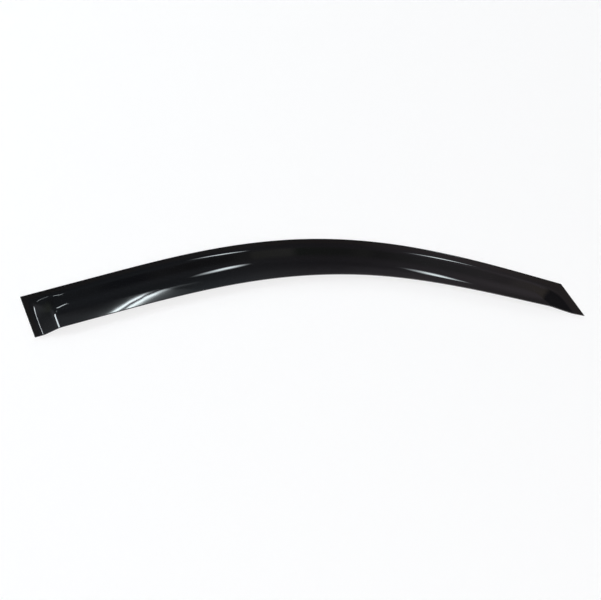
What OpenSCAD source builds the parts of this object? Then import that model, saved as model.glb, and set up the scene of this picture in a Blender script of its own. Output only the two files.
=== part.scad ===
/* [Overall] */
// Length from the rear corner to the front tip
length = 1000; // [800:5:1250]
// Width of the band at the rear end, square to the top edge
rear_band = 83.4; // [70:0.2:105]
// Width of the band at the front end, square to the top edge
front_band = 48.2; // [40:0.2:60]
// Wall of the moulding
wall = 2.8; // [2:0.1:3.5]

/* [Arch of the top edge] */
// Climb of the straight rear stretch, in degrees
rear_climb = 16.25; // [10:0.05:20]
// Fall of the straight front stretch, in degrees
front_fall = 17.45; // [10:0.05:22]
// Length of the straight stretch at the rear
rear_straight = 141; // [100:1:200]
// Length of the straight stretch at the front
front_straight = 24; // [20:1:60]
// Length at the rear over which the band keeps its full width
full_band = 230; // [100:1:300]

/* [Ends] */
// Slant of the rear end line against the square of the top edge, in degrees
rear_slant = 12.7; // [0:0.1:25]
// Slant of the front end line against the square of the top edge, in degrees
front_slant = 44.1; // [20:0.1:50]
// Width of the flat flange along both end lines
end_flange = 13.5; // [12:0.1:18]
// Plan width of the rear end wall, from bend to bend
rear_wall_run = 33; // [24:0.5:42]
// Plan width of the front end wall, from bend to bend
front_wall_run = 35; // [26:0.5:41]
// Plan length of the hollow bend at the foot of an end wall
end_foot = 4.5; // [3.5:0.1:8]
// Plan length of the rounded bend at the head of the rear end wall
rear_crown = 11.5; // [7:0.1:15]
// Plan length of the rounded bend at the head of the front end wall
front_crown = 8; // [5:0.1:12]

/* [Section] */
// Width of the flat flange along the top edge
flange = 12; // [10:0.1:15]
// Stand-off of the face from the door at the rear
rear_standoff = 16; // [12:0.1:22]
// Stand-off of the face from the door at the front corner
front_standoff = 10.5; // [9:0.1:16]
// Pitch of the slope between the flange and the face, in degrees
slope_pitch = 27; // [22:0.1:32]
// Plan length of the hollow bend at the foot of the slope, at the rear
foot = 10; // [5:0.1:13]
// Plan length of the rounded crown at the head of the slope, at the rear
crown = 27; // [15:0.5:30]
// Distance that the face turns down towards its free edge at the rear
face_fall = 2; // [0:0.1:3]
// Distance from the top edge at which the face starts to turn down
fall_from = 45; // [40:1:60]
// Radius of the rounding along the outer rim
rim = 0.8; // [0.3:0.1:1.2]
// Lean of the mounting flange along the bowed door, in degrees
lean = 3.15; // [0:0.05:5]

/* [Mounting tape] */
// Width of the foam tape
tape_w = 7.5; // [5:0.1:8]
// Thickness of the foam tape
tape_t = 1.1; // [0.8:0.05:1.6]
// Thickness of the release film
film_t = 0.2; // [0.1:0.05:0.3]
// Distance from the edge of the flange to the tape
tape_inset = 1.5; // [1:0.1:2]
// Distance between the upper strip and each end strip
strip_gap = 1.5; // [0.5:0.1:3]
// Clearance kept between bonded faces
bond_gap = 0.02; // [0.01:0.01:0.05]

/* [Hidden] */

smoke = [0.03, 0.03, 0.035];
foam = [0.16, 0.16, 0.17];
film_red = [0.62, 0.06, 0.07];

// Slopes of the top edge, the end lines and the door
rear_slope = tan(rear_climb);
front_slope = -tan(front_fall);
rear_rake = tan(rear_slant);
front_rake = tan(front_slant);
bow = tan(lean);
slope_rise = tan(slope_pitch);

// Length along the top edge, and square to an end line, for each millimetre along X
rear_stretch = norm([1, rear_slope]);
front_stretch = norm([1, front_slope]);
rear_square = rear_stretch * cos(rear_slant);
front_square = front_stretch * cos(front_slant);

// Places along X of the rear corner, the front corner, and the ends of the bent and tapered stretches
rear_x = -length / 2;
front_x = length / 2 - front_band * (front_rake + front_slope) / front_stretch;
bend_from = rear_x + rear_straight;
bend_to = front_x - front_straight;
taper_from = rear_x + full_band;

// Length over which the square sections swing round to each end line, and the part of it that stays parallel
swing_hold = 90;
swing = 260;

// Power of the stand-off's fall along the tapered stretch, most of which comes near the front
late = 6;

// Height of the flange's mounting face at the top edge, so that the lowest film touches the ground
flange_z = tape_t + film_t + 2 * bond_gap - bow * tape_inset;

// Counts of facets across the flange, each sharp bend, an end wall, the slope and face, and the middle
flange_steps = 2;
bend_steps = 4;
wall_steps = 4;
face_steps = 22;
middle_steps = 46;
probe = 0.02;

// Share of the rim's radius at which its rounding is cut
rim_share = 0.3;

function share(t) = max(0, min(1, t));

// A smooth step from 0 to 1, and its running sum
function ease(t) = pow(share(t), 2) * (3 - 2 * share(t));
function ease_sum(t) = pow(share(t), 3) - pow(share(t), 4) / 2 + max(0, t - 1);

// Slope and height of the top edge at a station
function edge_slope(x) =
    rear_slope + (front_slope - rear_slope) * ease((x - bend_from) / (bend_to - bend_from));
function edge_y(x) =
    rear_slope * x
    + (front_slope - rear_slope) * (bend_to - bend_from) * ease_sum((x - bend_from) / (bend_to - bend_from));

// Width of the band, stand-off of the face and slant of the section at a station
function tapered(x) = share((x - taper_from) / (front_x - taper_from));
function band(x) = rear_band - (rear_band - front_band) * pow(tapered(x), 2);
function standoff(x) = rear_standoff - (rear_standoff - front_standoff) * pow(tapered(x), late);
function rake(x) =
    rear_rake * (1 - ease((x - rear_x - swing_hold) / swing))
    + front_rake * (1 - ease((front_x - swing_hold - x) / swing));

// Share of the full stand-off reached at a distance past a flange: a hollow bend, a straight ramp, a crown
function ramp(d, run, low, high) =
    let (straight = run - (low + high) / 2)
    let (a = max(0, min(d, low)))
    let (b = max(0, min(d - low, straight)))
    let (c = max(0, min(d - low - straight, high)))
    (a * a / (2 * low) + b + c - c * c / (2 * high)) / run;

// Fall of the face towards the free edge
function fall(d) = face_fall * pow(max(0, d - fall_from) / (rear_band - fall_from), 2);

// Height of the inner skin over the plane of the flange, with the slope drawn in where the stand-off is less
function hollow(x, d) =
    let (draw = rear_standoff / standoff(x))
    let (top = ramp((d - flange) * draw, rear_standoff / slope_rise, foot, crown))
    let (rear = ramp((x - rear_x) * rear_square - end_flange, rear_wall_run, end_foot, rear_crown))
    let (front = ramp((front_x - x) * front_square - end_flange, front_wall_run, end_foot, front_crown))
    (standoff(x) * top - fall(d)) * rear * front;

// Point of the flange plane at a station and a distance from the top edge, and of the inner skin over it
function flange_point(x, d) =
    let (m = edge_slope(x))
    let (k = rake(x))
    [x + d * (m + k) / norm([1, m]), edge_y(x) + d * (k * m - 1) / norm([1, m]), flange_z + bow * d];
function inner_point(x, d) = flange_point(x, d) + [0, 0, hollow(x, d)];
function unit(v) = v / norm(v);
function inner_normal(x, d) =
    unit(cross(
        inner_point(x, d + probe) - inner_point(x, d - probe),
        inner_point(x + probe, d) - inner_point(x - probe, d)));

// Wall at a distance from the rim, rounded off on its outer side
function rim_wall(e) = wall - rim + sqrt(max(0, rim * rim - pow(max(0, rim - e), 2)));
function outer_point(x, d) =
    let (from_rear = (x - rear_x) * rear_square)
    let (from_front = (front_x - x) * front_square)
    inner_point(x, d) + rim_wall(min(d, band(x) - d, from_rear, from_front)) * inner_normal(x, d);

// Stations along the top edge: close in each end wall, wide over the middle
function steps(from, to, count) = [for (i = [1:count]) from + (to - from) * i / count];
rim_rows = [rim * rim_share, rim];
function end_distances(run, crown) =
    let (head = end_flange + run + (end_foot - crown) / 2)
    concat(
        rim_rows,
        steps(rim, end_flange, flange_steps),
        steps(end_flange, end_flange + end_foot, bend_steps),
        steps(end_flange + end_foot, head, wall_steps),
        steps(head, head + crown, bend_steps));
rear_stations = [for (e = end_distances(rear_wall_run, rear_crown)) rear_x + e / rear_square];
front_stations = [for (e = end_distances(front_wall_run, front_crown)) front_x - e / front_square];
last = len(rear_stations) - 1;
middle_stations = steps(rear_stations[last], front_stations[last], middle_steps);
stations = concat(
    [rear_x], rear_stations, middle_stations,
    [for (i = [1:last]) front_stations[last - i]], [front_x]);

// Distances from the top edge at which a section is cut
function rows(x) =
    concat(
        [0],
        rim_rows,
        steps(rim, flange, flange_steps),
        steps(flange, flange + foot, bend_steps),
        steps(flange + foot, band(x) - rim, face_steps),
        [band(x) - rim * rim_share, band(x)]);

inner_skin = [for (x = stations) [for (d = rows(x)) inner_point(x, d)]];
outer_skin = [for (x = stations) [for (d = rows(x)) outer_point(x, d)]];

// Middle of the whole outline, which stands over the origin
all_points = [for (skin = [inner_skin, outer_skin]) for (row = skin) each row];
function middle(axis) =
    let (places = [for (p = all_points) p[axis]])
    (min(places) + max(places)) / 2;
origin = [middle(0), middle(1), 0];

// A closed sheet between two skins, each given as rows of points at the stations
module sheet(low, high) {
    n = len(low);
    m = len(low[0]);
    points = [for (skin = [low, high]) for (row = skin) each row];
    function at(skin, i, j) = (skin * n + i) * m + j;
    function quad(a, b, c, d) = [[a, b, c], [a, c, d]];
    skins = [for (i = [0:n - 2]) for (j = [0:m - 2])
        each concat(
            quad(at(1, i, j), at(1, i + 1, j), at(1, i + 1, j + 1), at(1, i, j + 1)),
            quad(at(0, i, j + 1), at(0, i + 1, j + 1), at(0, i + 1, j), at(0, i, j)))];
    edges = [for (i = [0:n - 2])
        each concat(
            quad(at(1, i + 1, 0), at(1, i, 0), at(0, i, 0), at(0, i + 1, 0)),
            quad(at(1, i, m - 1), at(1, i + 1, m - 1), at(0, i + 1, m - 1), at(0, i, m - 1)))];
    ends = [for (j = [0:m - 2])
        each concat(
            quad(at(1, 0, j), at(1, 0, j + 1), at(0, 0, j + 1), at(0, 0, j)),
            quad(at(1, n - 1, j + 1), at(1, n - 1, j), at(0, n - 1, j), at(0, n - 1, j + 1)))];
    polyhedron(points, concat(skins, edges, ends), convexity = 6);
}

// A strip bonded under the top flange, from one end line to the other
module upper_strip(top, thickness) {
    from = rear_x + tape_inset / rear_square;
    to = front_x - tape_inset / front_square;
    along = concat([from], [for (x = stations) if (x > from + 1 && x < to - 1) x], [to]);
    function level(z) =
        [for (x = along) [for (d = [tape_inset, tape_inset + tape_w]) flange_point(x, d) + [0, 0, z]]];
    sheet(level(top - thickness), level(top));
}

// A strip bonded under an end flange, cut square with the slanted end line
module end_strip(corner_x, slope_angle, slant, width, side, top, thickness) {
    near = strip_gap + tape_inset + tape_w;
    far = width - tape_inset;
    function spot(e, d) = [side * e / cos(slant) + d * tan(slant), -d / cos(lean)];
    inner = tape_inset + tape_w;
    translate([corner_x, edge_y(corner_x), flange_z])
        rotate([0, 0, slope_angle])
            rotate([-lean, 0, 0])
                translate([0, 0, top - thickness])
                    linear_extrude(thickness)
                        polygon([spot(tape_inset, near), spot(inner, near), spot(inner, far), spot(tape_inset, far)]);
}

module rear_strip(top, thickness) {
    end_strip(rear_x, rear_climb, rear_slant, rear_band, 1, top, thickness);
}

module front_strip(top, thickness) {
    end_strip(front_x, -front_fall, front_slant, front_band, -1, top, thickness);
}

tape_top = -bond_gap;
film_top = tape_top - tape_t - bond_gap;

module visor() {
    color(smoke) translate(-origin) sheet(inner_skin, outer_skin);
}

module upper_tape() {
    color(foam) translate(-origin) upper_strip(tape_top, tape_t);
}

module rear_tape() {
    color(foam) translate(-origin) rear_strip(tape_top, tape_t);
}

module front_tape() {
    color(foam) translate(-origin) front_strip(tape_top, tape_t);
}

module upper_film() {
    color(film_red) translate(-origin) upper_strip(film_top, film_t);
}

module rear_film() {
    color(film_red) translate(-origin) rear_strip(film_top, film_t);
}

module front_film() {
    color(film_red) translate(-origin) front_strip(film_top, film_t);
}

visor();
upper_tape();
rear_tape();
front_tape();
upper_film();
rear_film();
front_film();
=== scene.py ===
"""A window rain deflector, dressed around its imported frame.

The deflector is one thin moulding of black smoke plastic with foam tape and red release film behind its
flange. The moulding is laid out here as a fine sheet on the part's own form and takes the place of the CAD
node; the tape and film strips keep their CAD meshes and are given finished surfaces.
"""
import logging
import math
from dataclasses import dataclass
from enum import Enum

import bmesh
import bpy
import numpy as np
from bmesh.types import BMesh
from bpy.types import AreaLight, Material, Node, NodeSocket, NodeTree, Object, World
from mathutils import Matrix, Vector


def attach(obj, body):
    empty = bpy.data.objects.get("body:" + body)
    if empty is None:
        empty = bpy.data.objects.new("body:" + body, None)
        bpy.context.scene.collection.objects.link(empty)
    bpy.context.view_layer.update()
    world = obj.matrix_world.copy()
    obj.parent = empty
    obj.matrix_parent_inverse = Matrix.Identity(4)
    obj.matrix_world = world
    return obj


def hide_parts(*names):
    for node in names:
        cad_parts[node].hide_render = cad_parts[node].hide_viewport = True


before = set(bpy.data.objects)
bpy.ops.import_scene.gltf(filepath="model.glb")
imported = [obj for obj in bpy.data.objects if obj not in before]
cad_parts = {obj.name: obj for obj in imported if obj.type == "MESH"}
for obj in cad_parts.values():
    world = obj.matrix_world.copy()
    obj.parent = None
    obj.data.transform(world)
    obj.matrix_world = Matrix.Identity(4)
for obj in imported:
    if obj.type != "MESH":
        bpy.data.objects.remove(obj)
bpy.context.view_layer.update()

LOG = logging.getLogger("deflector")
MM = 0.001

# Attributes of the moulding's mesh: distance from the top edge, and from the nearer end line
FROM_TOP = "from_top"
FROM_END = "from_end"

# Kinds of values: a pair, a point or colour, places with values, places with colours, and a node's input
Span = tuple[float, float]
Triple = tuple[float, float, float]
Run = tuple[Span, ...]
Stops = tuple[tuple[float, Triple], ...]
Value = NodeSocket | float

# From nothing to all, the range that holds most of a noise pattern, and the middle of a lamp's panel
WHOLE = (0.0, 1.0)
MOSTLY = (0.3, 0.7)
MIDDLE = 0.5


def tangent(degrees: float) -> float:
    """Tangent of an angle in degrees."""
    return math.tan(math.radians(degrees))


def share(value: np.ndarray) -> np.ndarray:
    """The value, held between 0 and 1."""
    return np.clip(value, 0.0, 1.0)


def ease(value: np.ndarray) -> np.ndarray:
    """A smooth step from 0 to 1."""
    return share(value) ** 2 * (3.0 - 2.0 * share(value))


def ease_sum(value: np.ndarray) -> np.ndarray:
    """Running sum of the smooth step."""
    return share(value) ** 3 - share(value) ** 4 / 2.0 + np.maximum(0.0, value - 1.0)


@dataclass(frozen=True)
class Form:
    """The form of the moulding, by stations along the top edge and distances from it.

    Lengths are in millimetres and angles in degrees. A station is the place along X of a point of the top
    edge. In plan the edge climbs straight from the rear corner, bends over and falls straight to the front
    corner, and both ends are cut on a slant. In section come the flange, a hollow foot bend, a slope, a
    rounded crown and a face that falls a little, and each end has a wall with a foot and crown of its own.
    """

    # The whole: length, width of the band at both ends and thickness of the sheet
    length: float = 1000.0
    rear_band: float = 83.4
    front_band: float = 48.2
    wall: float = 2.8

    # Top edge: slopes and lengths of its straight stretches, and the stretch over which the band stays full
    rear_climb: float = 16.25
    front_fall: float = 17.45
    rear_straight: float = 141.0
    front_straight: float = 24.0
    full_band: float = 230.0

    # Slant of the end lines, how far from them the section lines keep it, and the stretch where they swing
    rear_slant: float = 12.7
    front_slant: float = 44.1
    swing_hold: float = 90.0
    swing: float = 260.0

    # End walls: width of their flange, plan length of each wall, and plan lengths of the foot and the crowns
    end_flange: float = 13.5
    rear_wall_run: float = 33.0
    front_wall_run: float = 35.0
    end_foot: float = 4.5
    rear_crown: float = 11.5
    front_crown: float = 8.0

    # Front wall near the slope: what its crown gains, and the distances between which that fades out
    corner_ease: float = 22.0
    corner_reach: Span = (30.0, 50.0)

    # Section: flange, stand-off at both ends and the power by which it falls, slope, bends and falling face
    flange: float = 12.0
    rear_standoff: float = 16.0
    front_standoff: float = 10.5
    standoff_power: int = 6
    slope_pitch: float = 27.0
    foot: float = 10.0
    crown: float = 27.0
    face_fall: float = 2.0
    fall_from: float = 45.0

    # Seat: lean of the flange's plane, height of tape and film with their clearances, and inset of the tape
    lean: float = 3.15
    tape_lift: float = 1.34
    tape_inset: float = 1.5

    @property
    def slopes(self) -> Span:
        """Slope of the straight rear and front stretches of the top edge."""
        return tangent(self.rear_climb), -tangent(self.front_fall)

    @property
    def squares(self) -> Span:
        """Distance square to the rear and front end lines for each millimetre along X."""
        rear, front = self.slopes
        return (math.hypot(1.0, rear) * math.cos(math.radians(self.rear_slant)),
                math.hypot(1.0, front) * math.cos(math.radians(self.front_slant)))

    @property
    def rear_x(self) -> float:
        """Place of the rear corner along X."""
        return -self.length / 2.0

    @property
    def front_x(self) -> float:
        """Place of the front corner along X."""
        slope = self.slopes[1]
        lead = self.front_band * (tangent(self.front_slant) + slope) / math.hypot(1.0, slope)
        return self.length / 2.0 - lead

    def bent(self, x: np.ndarray) -> np.ndarray:
        """Share of the bent stretch of the top edge that lies behind a station."""
        start = self.rear_x + self.rear_straight
        return (x - start) / (self.front_x - self.front_straight - start)

    def edge_slope(self, x: np.ndarray) -> np.ndarray:
        """Slope of the top edge at a station."""
        rear, front = self.slopes
        return rear + (front - rear) * ease(self.bent(x))

    def edge_y(self, x: np.ndarray) -> np.ndarray:
        """Place of the top edge along Y.

        Args:
            x: Stations.

        Returns:
            Places in millimetres.
        """
        rear, front = self.slopes
        span = self.front_x - self.front_straight - self.rear_x - self.rear_straight
        return rear * x + (front - rear) * span * ease_sum(self.bent(x))

    def tapered(self, x: np.ndarray) -> np.ndarray:
        """Share of the tapered stretch that lies behind a station."""
        start = self.rear_x + self.full_band
        return share((x - start) / (self.front_x - start))

    def band(self, x: np.ndarray) -> np.ndarray:
        """Width of the band at a station."""
        return self.rear_band - (self.rear_band - self.front_band) * self.tapered(x) ** 2

    def standoff(self, x: np.ndarray) -> np.ndarray:
        """Stand-off of the face at a station."""
        late = self.tapered(x) ** self.standoff_power
        return self.rear_standoff - (self.rear_standoff - self.front_standoff) * late

    def rake(self, x: np.ndarray) -> np.ndarray:
        """Slant of the section lines, as slopes.

        Args:
            x: Stations.

        Returns:
            The ends' own slants near them, and none in the middle.
        """
        rear = 1.0 - ease((x - self.rear_x - self.swing_hold) / self.swing)
        front = 1.0 - ease((self.front_x - self.swing_hold - x) / self.swing)
        return tangent(self.rear_slant) * rear + tangent(self.front_slant) * front

    def from_ends(self, x: np.ndarray) -> tuple[np.ndarray, np.ndarray]:
        """Distances of a station from the rear and the front end line, square to each."""
        rear, front = self.squares
        return (x - self.rear_x) * rear, (self.front_x - x) * front

    def front_head(self, d: np.ndarray) -> np.ndarray:
        """Plan length of the front wall's crown at a distance from the top edge."""
        near, far = self.corner_reach
        return self.front_crown + self.corner_ease * (1.0 - ease((d - near) / (far - near)))

    @staticmethod
    def ramp(d: np.ndarray, run: float, low: float, high: np.ndarray | float) -> np.ndarray:
        """Share of the full height past a flange: a hollow bend, a straight ramp and a crown.

        Args:
            d: Distances past the flange.
            run: Plan length from the middle of one bend to the middle of the other.
            low: Plan length of the hollow bend.
            high: Plan length of the crown.

        Returns:
            Heights from 0 to 1.
        """
        straight = run - (low + high) / 2.0
        a = np.clip(d, 0.0, low)
        b = np.clip(d - low, 0.0, straight)
        c = np.clip(d - low - straight, 0.0, high)
        return (a * a / (2.0 * low) + b + c - c * c / (2.0 * high)) / run

    def hollow(self, x: np.ndarray, d: np.ndarray) -> np.ndarray:
        """Height of the inner skin over the plane of the flange.

        Args:
            x: Stations.
            d: Distances from the top edge.

        Returns:
            Heights in millimetres.
        """
        draw = self.rear_standoff / self.standoff(x)
        rear_end, front_end = self.from_ends(x)
        slope_run = self.rear_standoff / tangent(self.slope_pitch)
        top = self.ramp((d - self.flange) * draw, slope_run, self.foot, self.crown)
        rear = self.ramp(rear_end - self.end_flange, self.rear_wall_run, self.end_foot, self.rear_crown)
        front = self.ramp(front_end - self.end_flange, self.front_wall_run, self.end_foot, self.front_head(d))
        past = np.maximum(0.0, d - self.fall_from) / (self.rear_band - self.fall_from)
        return (self.standoff(x) * top - self.face_fall * past ** 2) * rear * front

    def inner(self, x: np.ndarray, d: np.ndarray) -> np.ndarray:
        """Points of the inner skin, before they are centred.

        Args:
            x: Stations.
            d: Distances from the top edge.

        Returns:
            An array whose last axis holds X, Y and Z in millimetres.
        """
        slope, rake, bow = self.edge_slope(x), self.rake(x), tangent(self.lean)
        stretch = np.hypot(1.0, slope)
        plane = self.tape_lift - bow * self.tape_inset + bow * d
        return np.stack([x + d * (slope + rake) / stretch,
                         self.edge_y(x) + d * (rake * slope - 1.0) / stretch,
                         plane + self.hollow(x, d)], axis=-1)

    def outer(self, x: np.ndarray, d: np.ndarray) -> np.ndarray:
        """Points of the outer skin, one wall over the inner one, before they are centred.

        Args:
            x: Stations.
            d: Distances from the top edge.

        Returns:
            An array whose last axis holds X, Y and Z in millimetres.
        """
        probe = 0.02
        across = self.inner(x, d + probe) - self.inner(x, d - probe)
        along = self.inner(x + probe, d) - self.inner(x - probe, d)
        normal = np.cross(across, along)
        return self.inner(x, d) + self.wall * normal / np.linalg.norm(normal, axis=-1, keepdims=True)

    def middle(self) -> np.ndarray:
        """Finds the middle of the outline in plan, which stands over the origin.

        Returns:
            Its X, Y and Z in millimetres, with Z at 0.
        """
        samples = 4001
        x = np.linspace(self.rear_x, self.front_x, samples)
        skins = [skin(x, d) for skin in (self.inner, self.outer) for d in (0.0 * x, self.band(x))]
        points = np.concatenate(skins)
        low, high = points.min(axis=0), points.max(axis=0)
        return np.array([(low[0] + high[0]) / 2.0, (low[1] + high[1]) / 2.0, 0.0])


class Board:
    """A board of shader nodes, with short ways to add and join them."""

    def __init__(self, tree: NodeTree) -> None:
        """Works on the given node tree."""
        self.tree = tree

    def feed(self, socket: NodeSocket, value: Value | tuple) -> None:
        """Feeds an input.

        Args:
            socket: The input.
            value: A socket to join to it, or a number, vector or colour to set it to.
        """
        if isinstance(value, NodeSocket):
            self.tree.links.new(value, socket)
        else:
            socket.default_value = value

    def add(self, kind: str, values: dict | None = None, **settings: object) -> Node:
        """Adds a node.

        Args:
            kind: The node's type without its ShaderNode prefix.
            values: Input values or sockets to join, by input name or number.
            settings: Attributes of the node.

        Returns:
            The new node.
        """
        node = self.tree.nodes.new("ShaderNode" + kind)
        for name, value in settings.items():
            setattr(node, name, value)
        for name, value in (values or {}).items():
            self.feed(node.inputs[name], value)
        return node

    def sum(self, operation: str, *inputs: Value) -> NodeSocket:
        """The outcome of a sum of sockets and numbers."""
        return self.add("Math", dict(enumerate(inputs)), operation=operation).outputs[0]

    def spread(self, value: Value, source: tuple, target: tuple = WHOLE,
               kind: str = "SMOOTHSTEP") -> NodeSocket:
        """Spreads a value from one range to another, and holds it there.

        Args:
            value: The value.
            source: Low and high end of its range.
            target: What the two ends become.
            kind: SMOOTHSTEP for a smooth step, LINEAR for a straight one.

        Returns:
            The spread value.
        """
        values = {"Value": value, "From Min": source[0], "From Max": source[1],
                  "To Min": target[0], "To Max": target[1]}
        return self.add("MapRange", values, interpolation_type=kind).outputs["Result"]

    def blend(self, factor: NodeSocket, a: NodeSocket | Triple, b: NodeSocket | Triple) -> NodeSocket:
        """Blends two colours.

        Args:
            factor: Share of the second colour.
            a: The first colour, or a socket that gives it.
            b: The second colour, or a socket that gives it.

        Returns:
            The blended colour.
        """
        node = self.add("Mix", {"Factor": factor}, data_type="RGBA")
        for name, colour in (("A", a), ("B", b)):
            socket = next(s for s in node.inputs if s.name == name and s.type == "RGBA")
            self.feed(socket, colour if isinstance(colour, NodeSocket) else (*colour, 1.0))
        return next(s for s in node.outputs if s.type == "RGBA")


@dataclass(frozen=True)
class Grain:
    """A fine pattern: features for each metre, octaves and their roughness, and height in metres."""

    scale: float
    detail: float = 2.0
    rough: float = 0.5
    height: float = 0.0


class Surface(Board):
    """The node board of a new material."""

    def __init__(self, name: str) -> None:
        """Starts a new material without nodes.

        Args:
            name: The material's name.
        """
        self.material = bpy.data.materials.new(name)
        self.material.use_nodes = True
        super().__init__(self.material.node_tree)
        self.tree.nodes.clear()

    def place(self) -> NodeSocket:
        """The object coordinates."""
        return self.add("TexCoord").outputs["Object"]

    def attribute(self, name: str) -> NodeSocket:
        """The mesh's own attribute of a name."""
        return self.add("Attribute", attribute_name=name).outputs["Fac"]

    def noise(self, place: NodeSocket, grain: Grain) -> NodeSocket:
        """A noise pattern's value at a place."""
        values = {"Vector": place, "Scale": grain.scale, "Detail": grain.detail, "Roughness": grain.rough}
        return self.add("TexNoise", values).outputs["Fac"]

    def cells(self, place: NodeSocket, grain: Grain, feature: str = "F1") -> NodeSocket:
        """Distance of a place from the middle of its cell, or from the cell's edge."""
        values = {"Vector": place, "Scale": grain.scale}
        return self.add("TexVoronoi", values, feature=feature).outputs["Distance"]

    def bump(self, value: NodeSocket, grain: Grain, under: NodeSocket | None = None) -> NodeSocket:
        """Bumps the surface.

        Args:
            value: The pattern's value.
            grain: The pattern, which holds its height.
            under: Another bumped normal that this one lies over.

        Returns:
            The bumped normal.
        """
        values = {"Height": value, "Distance": grain.height, "Strength": 1.0}
        if under is not None:
            values["Normal"] = under
        return self.add("Bump", values).outputs["Normal"]

    def finish(self, shader: Node) -> Material:
        """Joins a shader to the output and returns the material."""
        self.add("OutputMaterial", {"Surface": shader.outputs[0]})
        return self.material


@dataclass(frozen=True)
class SmokePlastic:
    """Polished black smoke plastic, a shade browner where foam tape lies behind it.

    Distances are in metres: painted_light_reach holds those from the top edge over which the body is painted
    lighter, from smoke to lit, as painted light for floor light shining through the plastic, and strip those
    from an edge between which the tape lies.
    """

    smoke: Triple = (0.0042, 0.0042, 0.0049)
    # Painted light: lit is the body's colour near the free edge, lighter than smoke to stand in for floor
    # light shining through the plastic
    lit: Triple = (0.0068, 0.0070, 0.0080)
    taped: Triple = (0.0064, 0.0052, 0.0046)
    painted_light_reach: Span = (30.0 * MM, 85.0 * MM)
    strip: Span = (1.5 * MM, 9.0 * MM)
    strip_blur: float = 0.4 * MM
    cloud: Grain = Grain(9.0)
    cloud_range: Span = (0.2, 0.8)
    cloud_levels: Span = (0.8, 1.0)
    haze: Grain = Grain(24.0, detail=4.0, rough=0.6)
    haze_range: Span = (0.35, 0.75)
    gloss: Span = (0.02, 0.045)
    index: float = 1.49
    ripple: Grain = Grain(26.0, detail=1.0, height=0.0001)
    skin: Grain = Grain(700.0, detail=1.0, height=0.0000025)

    def make(self) -> Material:
        """Makes the material.

        Returns:
            A glossy plastic with faint moulding ripples, a fine skin, a tint over the tape and painted light
            that lightens the body towards the free edge.
        """
        board = Surface("smoke_plastic")
        place = board.place()
        cloud = board.spread(board.noise(place, self.cloud), self.cloud_range, self.cloud_levels)
        taped = board.sum("MAXIMUM", *(self.over_tape(board, edge) for edge in (FROM_TOP, FROM_END)))
        # Painted light: the body turns from smoke to the lighter lit colour towards the free edge
        body = board.blend(board.spread(board.attribute(FROM_TOP), self.painted_light_reach), self.smoke, self.lit)
        colour = board.blend(board.sum("MULTIPLY", taped, cloud), body, self.taped)
        gloss = board.spread(board.noise(place, self.haze), self.haze_range, self.gloss)
        ripple = board.bump(board.noise(place, self.ripple), self.ripple)
        skin = board.bump(board.noise(place, self.skin), self.skin, under=ripple)
        return board.finish(board.add("BsdfPrincipled", {
            "Base Color": colour, "Roughness": gloss, "IOR": self.index, "Normal": skin}))

    def over_tape(self, board: Surface, edge: str) -> NodeSocket:
        """Masks the strip that has tape behind it.

        Args:
            board: The material's board.
            edge: Name of the attribute that holds the distance from the edge.

        Returns:
            1 over the tape and 0 elsewhere.
        """
        distance, blur = board.attribute(edge), self.strip_blur
        near, far = self.strip
        start = board.spread(distance, (near - blur, near + blur))
        end = board.spread(distance, (far - blur, far + blur), (1.0, 0.0))
        return board.sum("MULTIPLY", start, end)


@dataclass(frozen=True)
class FoamTape:
    """Dark grey closed-cell foam with fine cells along its cut edges."""

    grey: Triple = (0.125, 0.125, 0.135)
    # Painted shade: shade is the darker colour painted into the pits of the cells
    shade: Triple = (0.07, 0.07, 0.078)
    roughness: float = 0.85
    pore: Grain = Grain(2600.0, height=0.00008)
    pore_range: Span = (0.15, 0.6)
    cloud: Grain = Grain(160.0, detail=3.0)
    cloud_levels: Span = (0.6, 1.0)

    def make(self) -> Material:
        """Makes the material.

        Returns:
            A matt foam with fine pores.
        """
        board = Surface("foam_tape")
        place = board.place()
        pores = board.spread(board.cells(place, self.pore), self.pore_range)
        cloud = board.spread(board.noise(place, self.cloud), MOSTLY, self.cloud_levels)
        # Painted shade: the colour falls to shade in the pits of the cells, and also where the random cloud
        # of tone is low
        colour = board.blend(board.sum("MULTIPLY", pores, cloud), self.shade, self.grey)
        return board.finish(board.add("BsdfPrincipled", {
            "Base Color": colour, "Roughness": self.roughness, "Normal": board.bump(pores, self.pore)}))


@dataclass(frozen=True)
class ReleaseFilm:
    """Thin red release film, satin and lightly creased."""

    red: Triple = (0.62, 0.045, 0.055)
    deep: Triple = (0.45, 0.025, 0.035)
    cloud: Grain = Grain(70.0, detail=3.0, height=0.00025)
    drawn: Grain = Grain(300.0, detail=3.0)
    gloss: Span = (0.22, 0.4)
    crease: Grain = Grain(85.0, height=0.00005)
    crease_width: Span = (0.0, 0.12)

    def make(self) -> Material:
        """Makes the material.

        Returns:
            A satin red film with soft creases and fine drawing lines.
        """
        board = Surface("release_film")
        place = board.place()
        cloud = board.noise(place, self.cloud)
        colour = board.blend(board.spread(cloud, MOSTLY), self.deep, self.red)
        gloss = board.spread(board.noise(place, self.drawn), MOSTLY, self.gloss)
        lines = board.cells(place, self.crease, feature="DISTANCE_TO_EDGE")
        creases = board.bump(board.spread(lines, self.crease_width), self.crease)
        waves = board.bump(cloud, self.cloud, under=creases)
        return board.finish(board.add("BsdfPrincipled", {
            "Base Color": colour, "Roughness": gloss, "Normal": waves}))


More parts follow.
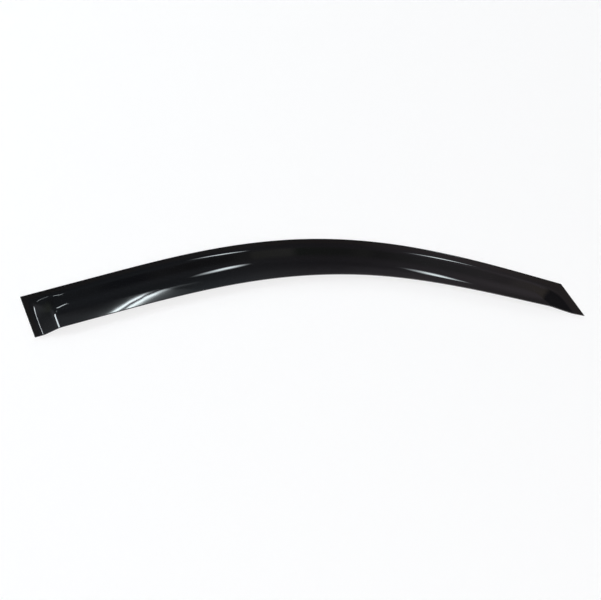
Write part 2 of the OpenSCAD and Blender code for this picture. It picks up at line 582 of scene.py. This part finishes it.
@dataclass(frozen=True)
class StudioFloor:
    """A plain pale floor that shows white and keeps the object's shadow; it is clear from below."""

    pale: Triple = (0.74, 0.74, 0.74)
    seen_pale: Triple = (0.34, 0.34, 0.34)
    lift: float = 0.71

    def make(self) -> Material:
        """Makes the material.

        Returns:
            A matt pale surface whose shown level is lifted to white for seen and mirrored rays.
        """
        board = Surface("studio_floor")
        path = board.add("LightPath").outputs
        mirrored = board.sum("MAXIMUM", path["Is Glossy Ray"], path["Is Transmission Ray"])
        seen = board.sum("MAXIMUM", path["Is Camera Ray"], mirrored)
        matt = board.add("BsdfDiffuse", {"Color": board.blend(seen, self.pale, self.seen_pale)})
        glow = board.add("Emission", {
            "Color": (1.0, 1.0, 1.0, 1.0), "Strength": board.sum("MULTIPLY", seen, self.lift)})
        pale = board.add("AddShader", {0: matt.outputs[0], 1: glow.outputs[0]})
        clear = board.add("BsdfTransparent")
        back = board.add("NewGeometry").outputs["Backfacing"]
        return board.finish(board.add("MixShader", {0: back, 1: pale.outputs[0], 2: clear.outputs[0]}))


@dataclass(frozen=True)
class Visor:
    """The moulding: a fine sheet on the form, with a wall and rounded rims, in millimetres and degrees.

    fine_step is the distance between stations near the ends, over end_zone, and wide_step that over the
    middle. rim_rows are the distances from an edge of the first rows, which hold the rounded rims. A rim is
    an edge whose faces meet at rim_corner or more, and a skin's normal rises or falls by more than skin_tilt.
    """

    name: str = "visor_moulding"
    form: Form = Form()
    fine_step: float = 1.0
    wide_step: float = 2.35
    end_zone: float = 60.0
    rows_across: int = 92
    rim_rows: Span = (1.2, 2.0)
    rim_corner: float = 60.0
    skin_tilt: float = 0.5
    outer_round: float = 0.8
    outer_segments: int = 4
    inner_round: float = 0.35
    inner_segments: int = 2

    def stations(self) -> np.ndarray:
        """Lays out the stations, close together at the ends and wider over the middle.

        Returns:
            Stations from the rear corner to the front one.
        """
        form = self.form
        rear_square, front_square = form.squares
        fine = np.arange(self.rim_rows[-1] + self.fine_step, self.end_zone, self.fine_step)
        ends = [0.0, *self.rim_rows, *fine]
        rear = [form.rear_x + e / rear_square for e in ends]
        front = [form.front_x - e / front_square for e in reversed(ends)]
        count = int((front[0] - rear[-1]) / self.wide_step)
        return np.array(rear + list(np.linspace(rear[-1], front[0], count + 1)[1:-1]) + front)

    def rows(self, band: np.ndarray) -> np.ndarray:
        """Lays out the rows across the band.

        Args:
            band: Widths of the band, one for each station.

        Returns:
            Distances from the top edge, a line of them for each station.
        """
        near, far = self.rim_rows
        steps = np.linspace(0.0, 1.0, self.rows_across + 1)
        between = far + (band[:, None] - 2.0 * far) * steps[None, :]
        zero = 0.0 * band[:, None]
        top = [zero, zero + near]
        low = [band[:, None] - near, band[:, None]]
        return np.concatenate([*top, between, *low], axis=1)

    def lay_sheet(self) -> BMesh:
        """Lays a grid on the outer skin.

        Returns:
            An open sheet in metres, with each vertex's distances from the top edge and the nearer end line.
        """
        form, stations = self.form, self.stations()
        distances = self.rows(form.band(stations))
        columns, lines = distances.shape
        x = np.repeat(stations[:, None], lines, axis=1)
        points = (form.outer(x, distances) - form.middle()) * MM
        nearer = np.minimum(*form.from_ends(x)) * MM
        sheet, half = bmesh.new(), 0.5
        bmesh.ops.create_grid(sheet, x_segments=columns - 1, y_segments=lines - 1, size=half)
        from_top = sheet.verts.layers.float.new(FROM_TOP)
        from_end = sheet.verts.layers.float.new(FROM_END)
        for vert in sheet.verts:
            i = round((vert.co.x + half) * (columns - 1))
            j = round((half - vert.co.y) * (lines - 1))
            vert.co = points[i, j]
            vert[from_top] = distances[i, j] * MM
            vert[from_end] = nearer[i, j]
        bmesh.ops.recalc_face_normals(sheet, faces=sheet.faces)
        if sum(face.normal.z for face in sheet.faces) < 0.0:
            bmesh.ops.reverse_faces(sheet, faces=sheet.faces)
        return sheet

    def give_wall(self, sheet: BMesh) -> None:
        """Gives the sheet its wall, inwards from the outer skin."""
        bmesh.ops.solidify(sheet, geom=sheet.faces[:], thickness=self.form.wall * MM)

    def round_rims(self, sheet: BMesh) -> None:
        """Rounds the rims, more on the outer skin than on the inner one.

        Args:
            sheet: The sheet with its wall.
        """
        corner = math.radians(self.rim_corner)
        sheet.normal_update()
        rims = [e for e in sheet.edges if e.is_manifold and e.calc_face_angle(0.0) > corner]
        outer = [e for e in rims if max(face.normal.z for face in e.link_faces) > self.skin_tilt]
        inner = [e for e in rims if min(face.normal.z for face in e.link_faces) < -self.skin_tilt]
        for edges, radius, segments in ((outer, self.outer_round, self.outer_segments),
                                        (inner, self.inner_round, self.inner_segments)):
            bmesh.ops.bevel(sheet, geom=[e for e in edges if e.is_valid], offset=radius * MM,
                            offset_type="OFFSET", affect="EDGES", segments=segments, profile=0.5,
                            material=-1, clamp_overlap=True)

    def build(self, finish: SmokePlastic) -> Object:
        """Builds the moulding and puts it in place of the CAD node.

        Args:
            finish: Its surface.

        Returns:
            The finished object.
        """
        sheet = self.lay_sheet()
        self.give_wall(sheet)
        self.round_rims(sheet)
        for face in sheet.faces:
            face.smooth = True
        mesh = bpy.data.meshes.new(self.name)
        sheet.to_mesh(mesh)
        sheet.free()
        piece = bpy.data.objects.new(self.name, mesh)
        bpy.context.scene.collection.objects.link(piece)
        mesh.materials.append(finish.make())
        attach(piece, "root")
        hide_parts("visor")
        return piece


@dataclass(frozen=True)
class Strips:
    """The tape and film strips, which keep their CAD meshes."""

    foam_nodes: tuple[str, ...] = ("upper_tape", "rear_tape", "front_tape")
    film_nodes: tuple[str, ...] = ("upper_film", "rear_film", "front_film")

    def dress(self, foam: FoamTape, film: ReleaseFilm) -> list[str]:
        """Gives the strips their surfaces.

        Args:
            foam: Surface of the foam tape.
            film: Surface of the release film.

        Returns:
            Names of the dressed strips.
        """
        for names, material in ((self.foam_nodes, foam.make()), (self.film_nodes, film.make())):
            for name in names:
                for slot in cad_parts[name].material_slots:
                    slot.link = "DATA"
                    slot.material = material
        return [*self.foam_nodes, *self.film_nodes]


class Fade(Enum):
    """How far in from its rim a lamp reaches its full level, as a share of its half width."""

    CRISP = 0.12
    SOFT = 0.7
    GLOW = 1.0


class Outline(Enum):
    """Outline of a lamp."""

    OVAL = "oval"
    PANEL = "panel"


class Handle(Enum):
    """How a curve runs through its points."""

    SMOOTH = "AUTO"
    STRAIGHT = "VECTOR"


class Pattern(Board):
    """The nodes that shape a lamp's level over its panel."""

    def __init__(self, data: AreaLight) -> None:
        """Starts from the panel's own places, 0 to 1 across and along it.

        Args:
            data: The lamp.
        """
        data.use_nodes = True
        super().__init__(data.node_tree)
        place = self.add("NewGeometry").outputs["Parametric"]
        self.across, self.along = self.add("SeparateXYZ", {"Vector": place}).outputs[:2]

    def reach(self, place: NodeSocket) -> NodeSocket:
        """Distance from the middle, 0 to 1."""
        return self.sum("ABSOLUTE", self.sum("MULTIPLY_ADD", place, 2.0, -1.0))

    def fall(self, reach: NodeSocket, fade: Fade) -> NodeSocket:
        """A smooth fall from 1 to 0 towards the rim."""
        return self.spread(reach, (1.0 - fade.value, 1.0), (1.0, 0.0))

    def curve(self, place: NodeSocket, points: Run, handle: Handle = Handle.SMOOTH) -> NodeSocket:
        """Adds a curve through the points.

        Args:
            place: What the curve is read at, 0 to 1.
            points: Places and their values, both 0 to 1.
            handle: How it runs through them.

        Returns:
            The curve's value.
        """
        node = self.add("FloatCurve", {"Value": place})
        line = node.mapping.curves[0].points
        ready = len(line)
        for k, point in enumerate(points):
            spot = line[k] if k < ready else line.new(*point)
            spot.location = point
            spot.handle_type = handle.value
        node.mapping.update()
        return node.outputs["Value"]

    def shine(self, level: NodeSocket) -> None:
        """Gives the level to the lamp."""
        glow = next(node for node in self.tree.nodes if node.type == "EMISSION")
        self.feed(glow.inputs["Strength"], level)


@dataclass(frozen=True)
class Lamp:
    """A soft lamp that is mirrored but not seen, in metres and degrees.

    It faces down, turned by its yaw, unless it is given a point to aim at. Its level falls to the rim by its
    fade or, along a panel, by its run, which holds places from 0 to 1 and their levels.
    """

    name: str
    place: Triple
    size: Span
    radiance: float
    yaw: float = 0.0
    fade: Fade = Fade.SOFT
    run: Run | None = None
    outline: Outline = Outline.OVAL
    aim: Triple | None = None
    colour: Triple = (1.0, 1.0, 1.0)

    def build(self) -> Object:
        """Builds the lamp.

        Returns:
            Its object.
        """
        data = bpy.data.lights.new(self.name, "AREA")
        data.shape = "RECTANGLE"
        data.size, data.size_y = self.size
        data.energy = self.radiance * math.pi * self.size[0] * self.size[1]
        data.color = self.colour
        pattern = Pattern(data)
        pattern.shine(self.level(pattern))
        lamp = bpy.data.objects.new(self.name, data)
        lamp.location = self.place
        if self.aim is None:
            lamp.rotation_euler = (0.0, 0.0, math.radians(self.yaw))
        else:
            way = Vector(self.aim) - Vector(self.place)
            lamp.rotation_euler = way.to_track_quat("-Z", "Y").to_euler()
        lamp.visible_camera = False
        bpy.context.scene.collection.objects.link(lamp)
        return lamp

    def level(self, pattern: Pattern) -> NodeSocket:
        """Shapes the level over the panel.

        Args:
            pattern: The lamp's nodes.

        Returns:
            The level, from 0 at the rim to 1.
        """
        across, along = pattern.reach(pattern.across), pattern.reach(pattern.along)
        if self.outline is Outline.OVAL:
            squares = pattern.sum("ADD", pattern.sum("POWER", across, 2.0), pattern.sum("POWER", along, 2.0))
            return pattern.fall(pattern.sum("SQRT", squares), self.fade)
        lengthwise = pattern.curve(pattern.along, self.run) if self.run else pattern.fall(along, self.fade)
        return pattern.sum("MULTIPLY", pattern.fall(across, self.fade), lengthwise)


@dataclass(frozen=True)
class TwinTube(Lamp):
    """Two lit tubes side by side with a dark line between them and their glow on both sides.

    Places are in metres from the panel's middle. path holds those of the dark line, along the panel and
    across it, profile the level by the distance from that line, and left_run and right_run the level along
    the two tubes.
    """

    path: Run = (
        (-0.45, 0.083), (-0.35, 0.044), (-0.2, 0.0), (-0.09, -0.033), (0.01, -0.056), (0.095, -0.069),
        (0.21, -0.059), (0.272, -0.015), (0.32, 0.044), (0.45, 0.2))
    profile: Run = (
        (-0.5, 0.0), (-0.34, 0.001), (-0.28, 0.003), (-0.21, 0.009), (-0.165, 0.018), (-0.12, 0.042),
        (-0.1, 0.09), (-0.083, 0.23), (-0.07, 0.5), (-0.058, 0.9), (-0.047, 1.0), (-0.036, 0.9),
        (-0.025, 0.5), (-0.014, 0.15), (-0.006, 0.055), (0.006, 0.055), (0.014, 0.15), (0.025, 0.5),
        (0.036, 0.9), (0.048, 1.0), (0.065, 0.85), (0.085, 0.46), (0.105, 0.23), (0.13, 0.12),
        (0.15, 0.082), (0.2, 0.048), (0.25, 0.031), (0.35, 0.015), (0.45, 0.007), (0.5, 0.0))
    left_run: Run = (
        (-0.45, 0.0), (-0.35, 0.7), (-0.25, 1.0), (0.05, 1.0), (0.1, 0.75), (0.15, 0.3), (0.19, 0.05),
        (0.24, 0.0), (0.45, 0.0))
    right_run: Run = (
        (-0.45, 0.0), (-0.35, 0.7), (-0.25, 1.0), (0.1, 1.0), (0.19, 0.5), (0.235, 0.1), (0.28, 0.04),
        (0.4, 0.0), (0.45, 0.0))

    @staticmethod
    def placed(run: Run, size: float) -> Run:
        """A run by metres from the panel's middle, turned to shares of the panel's size."""
        return tuple((MIDDLE + place / size, value) for place, value in run)

    def level(self, pattern: Pattern) -> NodeSocket:
        """Shapes the level by the distance from the dark line.

        Args:
            pattern: The lamp's nodes.

        Returns:
            The level, from 0 to 1.
        """
        width, length = self.size
        path = tuple((MIDDLE + y / length, MIDDLE + x / width) for y, x in self.path)
        line = pattern.curve(pattern.along, path)
        aside = pattern.sum("ADD", pattern.sum("SUBTRACT", pattern.across, line), MIDDLE)
        level = pattern.curve(aside, self.placed(self.profile, width), Handle.STRAIGHT)
        left, right = (pattern.curve(pattern.along, self.placed(run, length), Handle.STRAIGHT)
                       for run in (self.left_run, self.right_run))
        on_right = pattern.sum("GREATER_THAN", aside, MIDDLE)
        more = pattern.sum("MULTIPLY", on_right, pattern.sum("SUBTRACT", right, left))
        return pattern.sum("MULTIPLY", level, pattern.sum("ADD", left, more))


@dataclass(frozen=True)
class Room:
    """Dim surroundings, whose tone depends on the direction.

    Across is 0 on the side of the rear end and 1 on that of the front end, and height is 0 at the horizon and
    1 overhead. Low directions have the horizon's tone and high ones the sky's. The one turns into the other
    between the two heights of haze, or of late_haze once across is past dusk. rise is the level by height.
    """

    haze: Span = (0.16, 0.42)
    late_haze: Span = (0.5, 0.68)
    dusk: Span = (0.84, 0.86)
    horizon: Stops = (
        (0.01, (0.03, 0.034, 0.034)), (0.022, (0.16, 0.18, 0.15)), (0.07, (0.15, 0.17, 0.145)),
        (0.11, (0.08, 0.095, 0.085)), (0.14, (0.05, 0.055, 0.058)), (0.18, (0.056, 0.064, 0.072)),
        (0.2, (0.066, 0.076, 0.086)), (0.216, (0.066, 0.074, 0.08)), (0.235, (0.03, 0.036, 0.044)),
        (0.262, (0.034, 0.036, 0.044)), (0.281, (0.066, 0.068, 0.07)), (0.313, (0.045, 0.044, 0.044)),
        (0.37, (0.06, 0.058, 0.058)), (0.392, (0.1, 0.1, 0.096)), (0.403, (0.1, 0.1, 0.096)),
        (0.409, (0.17, 0.17, 0.155)), (0.47, (0.2, 0.2, 0.185)), (0.485, (0.07, 0.085, 0.065)),
        (0.55, (0.074, 0.078, 0.068)), (0.57, (0.078, 0.08, 0.072)), (0.595, (0.12, 0.12, 0.11)),
        (0.62, (0.09, 0.088, 0.086)), (0.663, (0.14, 0.137, 0.14)), (0.695, (0.18, 0.175, 0.18)),
        (0.73, (0.18, 0.17, 0.178)), (0.757, (0.21, 0.19, 0.2)), (0.78, (0.195, 0.17, 0.182)),
        (0.79, (0.26, 0.225, 0.225)), (0.85, (0.27, 0.23, 0.2)), (0.87, (0.06, 0.056, 0.064)),
        (1.0, (0.06, 0.055, 0.06)))
    sky: Stops = (
        (0.0, (0.27, 0.29, 0.31)), (0.048, (0.25, 0.27, 0.29)), (0.066, (0.14, 0.15, 0.16)),
        (0.088, (0.08, 0.09, 0.1)), (0.15, (0.09, 0.105, 0.12)), (0.23, (0.1, 0.115, 0.13)),
        (0.38, (0.13, 0.13, 0.14)), (0.54, (0.12, 0.11, 0.12)), (0.62, (0.15, 0.135, 0.15)),
        (0.7, (0.25, 0.225, 0.25)), (0.81, (0.38, 0.33, 0.36)), (0.86, (0.36, 0.31, 0.335)),
        (0.9, (0.28, 0.24, 0.245)), (1.0, (0.27, 0.23, 0.23)))
    rise: Run = ((0.0, 0.9), (0.12, 1.0), (0.3, 1.1), (0.57, 1.28), (0.78, 1.04), (0.86, 1.15), (0.93, 1.4),
                 (0.96, 3.0), (1.0, 4.0))

    @staticmethod
    def ramp(board: Board, along: NodeSocket, stops: Stops) -> NodeSocket:
        """Adds a colour ramp.

        Args:
            board: The world's board.
            along: What the ramp is read at, 0 to 1.
            stops: Places along it and their colours.

        Returns:
            The ramp's colour.
        """
        node = board.add("ValToRGB", {"Fac": along})
        elements = node.color_ramp.elements
        elements.remove(elements[-1])
        for k, (position, colour) in enumerate(stops):
            stop = elements[0] if k == 0 else elements.new(position)
            stop.position, stop.color = position, (*colour, 1.0)
        return node.outputs["Color"]

    @staticmethod
    def across(board: Board, x: NodeSocket, y: NodeSocket) -> NodeSocket:
        """Share of the way from the rear end's side to the front end's.

        Args:
            board: The world's board.
            x: The direction's part along X.
            y: The direction's part along Y.

        Returns:
            0 straight to the rear end's side, 1 straight to the front end's.
        """
        flat = board.add("CombineXYZ", {"X": x, "Y": y}).outputs[0]
        heading = board.add("VectorMath", {"Vector": flat}, operation="NORMALIZE").outputs[0]
        side = board.add("SeparateXYZ", {"Vector": heading}).outputs["X"]
        return board.spread(side, (-1.0, 1.0), kind="LINEAR")

    def build(self) -> World:
        """Builds the surroundings.

        Returns:
            The scene's world.
        """
        world = bpy.data.worlds.new("surroundings")
        world.use_nodes = True
        board = Board(world.node_tree)
        board.tree.nodes.clear()
        way = board.add("TexCoord").outputs["Generated"]
        x, y, height = board.add("SeparateXYZ", {"Vector": way}).outputs
        across = self.across(board, x, y)
        turned = board.spread(across, self.dusk, kind="LINEAR")
        start, end = (board.spread(turned, WHOLE, ends, kind="LINEAR")
                      for ends in zip(self.haze, self.late_haze))
        upper = board.spread(height, (start, end), kind="LINEAR")
        tone = board.blend(upper, self.ramp(board, across, self.horizon), self.ramp(board, across, self.sky))
        top = max(level for _, level in self.rise)
        grey = self.ramp(board, height, tuple((z, (level / top,) * 3) for z, level in self.rise))
        strength = board.spread(grey, WHOLE, (0.0, top), kind="LINEAR")
        back = board.add("Background", {"Color": tone, "Strength": strength})
        board.add("OutputWorld", {"Surface": back.outputs[0]})
        bpy.context.scene.world = world
        return world


@dataclass(frozen=True)
class Studio:
    """Floor, lamps, surroundings and camera, in metres and degrees.

    The camera stands at eye and looks down, tilted up by tilt. Its focal length and its picture's width are
    in pixels, and the lens follows from them and the sensor's width in millimetres.
    """

    ceiling: float = 2.4
    floor_size: float = 60.0
    floor_drop: float = 0.0002
    room: Room = Room()
    eye: Triple = (0.0009, -0.2697, 0.8041)
    tilt: float = 17.0
    focal_px: float = 470.0
    frame_px: float = 601.0
    sensor: float = 36.0
    cool: Triple = (0.88, 0.97, 1.0)

    def lay_floor(self) -> Object:
        """Lays the floor just under the deflector.

        Returns:
            The floor.
        """
        sheet = bmesh.new()
        bmesh.ops.create_grid(sheet, x_segments=1, y_segments=1, size=self.floor_size / 2.0)
        bmesh.ops.translate(sheet, verts=sheet.verts, vec=(0.0, 0.0, -self.floor_drop))
        mesh = bpy.data.meshes.new("floor")
        sheet.to_mesh(mesh)
        sheet.free()
        mesh.materials.append(StudioFloor().make())
        floor = bpy.data.objects.new("floor", mesh)
        bpy.context.scene.collection.objects.link(floor)
        return floor

    def lamps(self) -> tuple[Lamp, ...]:
        """Lists the lamps.

        Returns:
            The two rows, the twin tube and the three side lamps of the ceiling, the key and the lamp below.
        """
        top, cool, origin = self.ceiling, self.cool, (0.0, 0.0, 0.0)
        side = {"fade": Fade.CRISP, "outline": Outline.PANEL, "colour": cool}
        broad = {"outline": Outline.PANEL, "aim": origin}
        return (
            Lamp("left_row", place=(-0.98, 2.78, top), size=(0.56, 2.2), radiance=20.0,
                 fade=Fade.GLOW, colour=cool),
            Lamp("right_row", place=(1.295, 2.02, top), size=(0.54, 1.16), radiance=20.0,
                 fade=Fade.GLOW, outline=Outline.PANEL, colour=cool,
                 run=((0.0, 0.0), (0.08, 0.7), (0.2, 1.0), (0.42, 0.9), (0.62, 0.45), (0.8, 0.14),
                      (0.93, 0.03), (1.0, 0.0))),
            TwinTube("near_tubes", place=(-1.056, 0.574, top), size=(1.1, 0.9), radiance=28.0,
                     yaw=-29.6, colour=cool),
            Lamp("side_near", place=(-3.0, 0.28, top), size=(0.75, 1.25), radiance=18.0, yaw=12.0, **side),
            Lamp("side_middle", place=(-2.5, 1.66, top), size=(0.1, 0.36), radiance=9.0, yaw=-24.0, **side),
            Lamp("side_far", place=(-3.668, 3.83, top), size=(0.03, 1.84), radiance=17.0, yaw=31.4, **side),
            Lamp("key", place=(0.5, -2.4, 2.6), size=(2.6, 2.0), radiance=6.5, **broad),
            Lamp("under", place=(0.0, 0.0, -1.6), size=(2.4, 1.6), radiance=2.5, **broad),
        )

    def set_camera(self) -> Object:
        """Sets the camera where the photograph was taken from.

        Returns:
            The camera.
        """
        data = bpy.data.cameras.new("camera")
        data.sensor_width = self.sensor
        data.lens = self.sensor * self.focal_px / self.frame_px
        camera = bpy.data.objects.new("camera", data)
        camera.location = self.eye
        camera.rotation_euler = (math.radians(self.tilt), 0.0, 0.0)
        bpy.context.scene.collection.objects.link(camera)
        bpy.context.scene.camera = camera
        return camera

    def build(self) -> list[Object]:
        """Builds the studio.

        Returns:
            The floor, the camera and the lamps.
        """
        bpy.context.scene.view_settings.view_transform = "Standard"
        self.room.build()
        return [self.lay_floor(), self.set_camera(), *(lamp.build() for lamp in self.lamps())]


def main() -> None:
    """Builds the deflector and its studio, piece by piece."""
    logging.basicConfig(level=logging.INFO, format="%(name)s: %(message)s")
    visor = Visor().build(SmokePlastic())
    LOG.info("%s: %d faces", visor.name, len(visor.data.polygons))
    for name in Strips().dress(FoamTape(), ReleaseFilm()):
        LOG.info("%s: dressed", name)
    for item in Studio().build():
        LOG.info("studio: %s", item.name)


if __name__ == "__main__":
    main()
